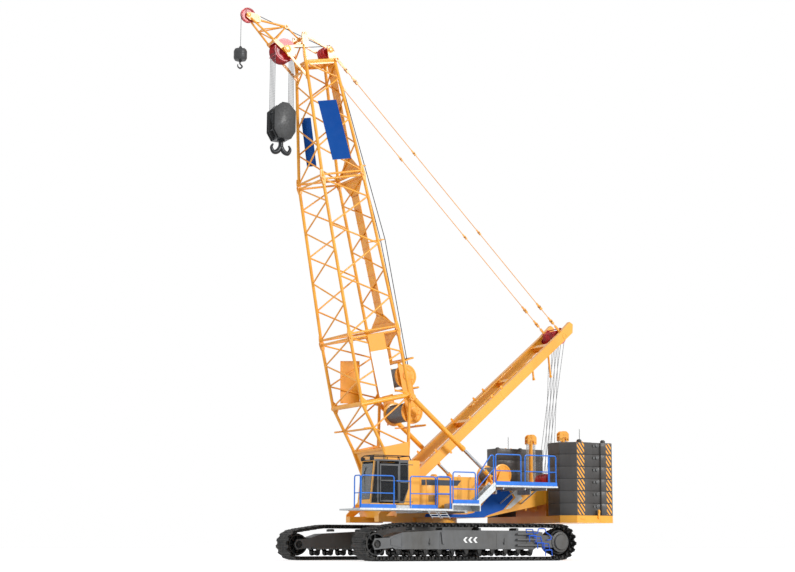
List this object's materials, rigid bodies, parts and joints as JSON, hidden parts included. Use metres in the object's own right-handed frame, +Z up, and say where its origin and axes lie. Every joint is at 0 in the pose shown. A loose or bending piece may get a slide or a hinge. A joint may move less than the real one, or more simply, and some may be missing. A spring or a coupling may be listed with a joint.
{
  "type": "crawler crane",
  "caption": "Crawler crane with a lattice boom, mast and pendants, stacked counterweights, side cab, walkways, a main hook block and a short jib with a single-line hook.",
  "frame": {"origin": "bottom centre of the bounding box, at ground level under the tracks", "axes": "+X forward, the way the boom leans; +Y to the operator side; +Z up"},
  "size_m": [15.555, 7.55, 21.2598],
  "materials": {
    "yellow_paint": "gloss paint",
    "frame_grey": "satin paint",
    "track_steel": "worn dark steel",
    "cab_dark": "satin paint",
    "cab_glass": "tinted glass",
    "rail_blue": "gloss paint",
    "sheave_red": "gloss paint",
    "hook_grey": "satin paint",
    "walkway_grey": "galvanised",
    "seat_black": "woven cover",
    "bare_steel": "bare steel"
  },
  "bodies": {
    "undercarriage": {"carbody": "frame_grey", "slew_ring": "yellow_paint", "track_frame_left": "frame_grey", "track_frame_right": "frame_grey", "track_left": "track_steel", "track_right": "track_steel", "lower_rollers_left": "track_steel", "lower_rollers_right": "track_steel", "idler_left": "track_steel", "idler_right": "track_steel", "sprocket_left": "track_steel", "sprocket_right": "track_steel"},
    "upperworks": {"upper_frame": "yellow_paint", "housing_left": "yellow_paint", "engine_housing": "yellow_paint", "engine_block": "bare_steel", "cab_shell": "cab_dark", "windscreen": "cab_glass", "operator_seat": "seat_black", "control_console": "seat_black", "walkway_left": "walkway_grey", "walkway_right": "walkway_grey", "walkway_rear": "walkway_grey", "handrail_left": "rail_blue", "handrail_right": "rail_blue", "handrail_rear": "rail_blue", "luffing_winch": "yellow_paint", "rear_sheaves": "sheave_red", "counterweight_tray": "yellow_paint", "counterweight_left": "frame_grey", "counterweight_right": "frame_grey", "hoist_post_left": "yellow_paint", "hoist_post_right": "yellow_paint"},
    "cab_door": {"cab_door": "cab_dark", "cab_door_glass": "cab_glass"},
    "service_door_left": {"service_door_left": "yellow_paint"},
    "service_door_right": {"service_door_right": "yellow_paint"},
    "boom": {"boom_base": "yellow_paint", "boom_insert": "yellow_paint", "boom_top": "yellow_paint", "tip_jib": "yellow_paint", "main_winch": "yellow_paint", "aux_winch": "yellow_paint", "guide_sheaves": "sheave_red", "pendant_left": "yellow_paint", "pendant_right": "yellow_paint"},
    "mast": {"mast": "yellow_paint", "mast_sheaves": "sheave_red"},
    "head_sheaves": {"head_sheaves": "sheave_red"},
    "main_hook": {"main_hook_block": "hook_grey"},
    "tip_sheave": {"tip_sheave": "sheave_red"},
    "aux_hook": {"aux_hook": "hook_grey"},
    "backstop_barrel_left": {"backstop_barrel_left": "yellow_paint"},
    "backstop_rod_left": {"backstop_rod_left": "bare_steel"},
    "backstop_barrel_right": {"backstop_barrel_right": "yellow_paint"},
    "backstop_rod_right": {"backstop_rod_right": "bare_steel"}
  },
  "joints": [
    {"name": "slew", "type": "hinge", "parent": "undercarriage", "child": "upperworks", "pos_m": [-0.75753, 0, 1.515], "axis": [0, 0, 1], "continuous": true},
    {"name": "boom_luff", "type": "hinge", "parent": "upperworks", "child": "boom", "pos_m": [0.86147, 0, 2.467], "axis": [0, -1, 0], "range_deg": [-47.75, 2.25]},
    {"name": "mast_raise", "type": "hinge", "parent": "upperworks", "child": "mast", "pos_m": [0.86147, 0, 2.467], "axis": [0, -1, 0], "range_deg": [-47.75, 2.25]},
    {"name": "head_sheaves_plumb", "type": "hinge", "parent": "boom", "child": "head_sheaves", "pos_m": [5.73441, 0, 19.72604], "axis": [0, -1, 0], "range_deg": [-2.25, 47.75]},
    {"name": "tip_sheave_plumb", "type": "hinge", "parent": "boom", "child": "tip_sheave", "pos_m": [7.23937, 0, 20.9547], "axis": [0, -1, 0], "range_deg": [-2.25, 47.75]},
    {"name": "main_hoist", "type": "slide", "parent": "head_sheaves", "child": "main_hook", "axis": [0, 0, -1], "range_m": [0, 15]},
    {"name": "aux_hoist", "type": "slide", "parent": "tip_sheave", "child": "aux_hook", "axis": [0, 0, -1], "range_m": [0, 18]},
    {"name": "backstop_pivot_left", "type": "hinge", "parent": "boom", "child": "backstop_barrel_left", "pos_m": [0.59207, 1.39, 6.2503], "axis": [0, -1, 0], "range_deg": [-1.19, 25.07]},
    {"name": "backstop_slide_left", "type": "slide", "parent": "backstop_barrel_left", "child": "backstop_rod_left", "axis": [-0.7673, 0, -0.6413], "range_m": [-0.103, 2.167]},
    {"name": "backstop_pivot_right", "type": "hinge", "parent": "boom", "child": "backstop_barrel_right", "pos_m": [0.59207, -1.39, 6.2503], "axis": [0, -1, 0], "range_deg": [-1.19, 25.07]},
    {"name": "backstop_slide_right", "type": "slide", "parent": "backstop_barrel_right", "child": "backstop_rod_right", "axis": [-0.7673, 0, -0.6413], "range_m": [-0.103, 2.167]},
    {"name": "cab_door_slide", "type": "slide", "parent": "upperworks", "child": "cab_door", "axis": [-1, 0, 0], "range_m": [0, 0.62]},
    {"name": "service_door_hinge_left", "type": "hinge", "parent": "upperworks", "child": "service_door_left", "pos_m": [0.91547, 3, 2.545], "axis": [0, 0, -1], "range_deg": [0, 90]},
    {"name": "service_door_hinge_right", "type": "hinge", "parent": "upperworks", "child": "service_door_right", "pos_m": [-1.18453, -3, 2.545], "axis": [0, 0, 1], "range_deg": [0, 90]}
  ],
  "couplings": [
    {"joint": "mast_raise", "follows": "boom_luff", "ratio": 1},
    {"joint": "head_sheaves_plumb", "follows": "boom_luff", "ratio": -1},
    {"joint": "tip_sheave_plumb", "follows": "boom_luff", "ratio": -1},
    {"joint": "backstop_pivot_left", "follows": "boom_luff", "ratio": -0.525},
    {"joint": "backstop_slide_left", "follows": "boom_luff", "m_per_rad": -2.6},
    {"joint": "backstop_pivot_right", "follows": "boom_luff", "ratio": -0.525},
    {"joint": "backstop_slide_right", "follows": "boom_luff", "m_per_rad": -2.6}
  ]
}
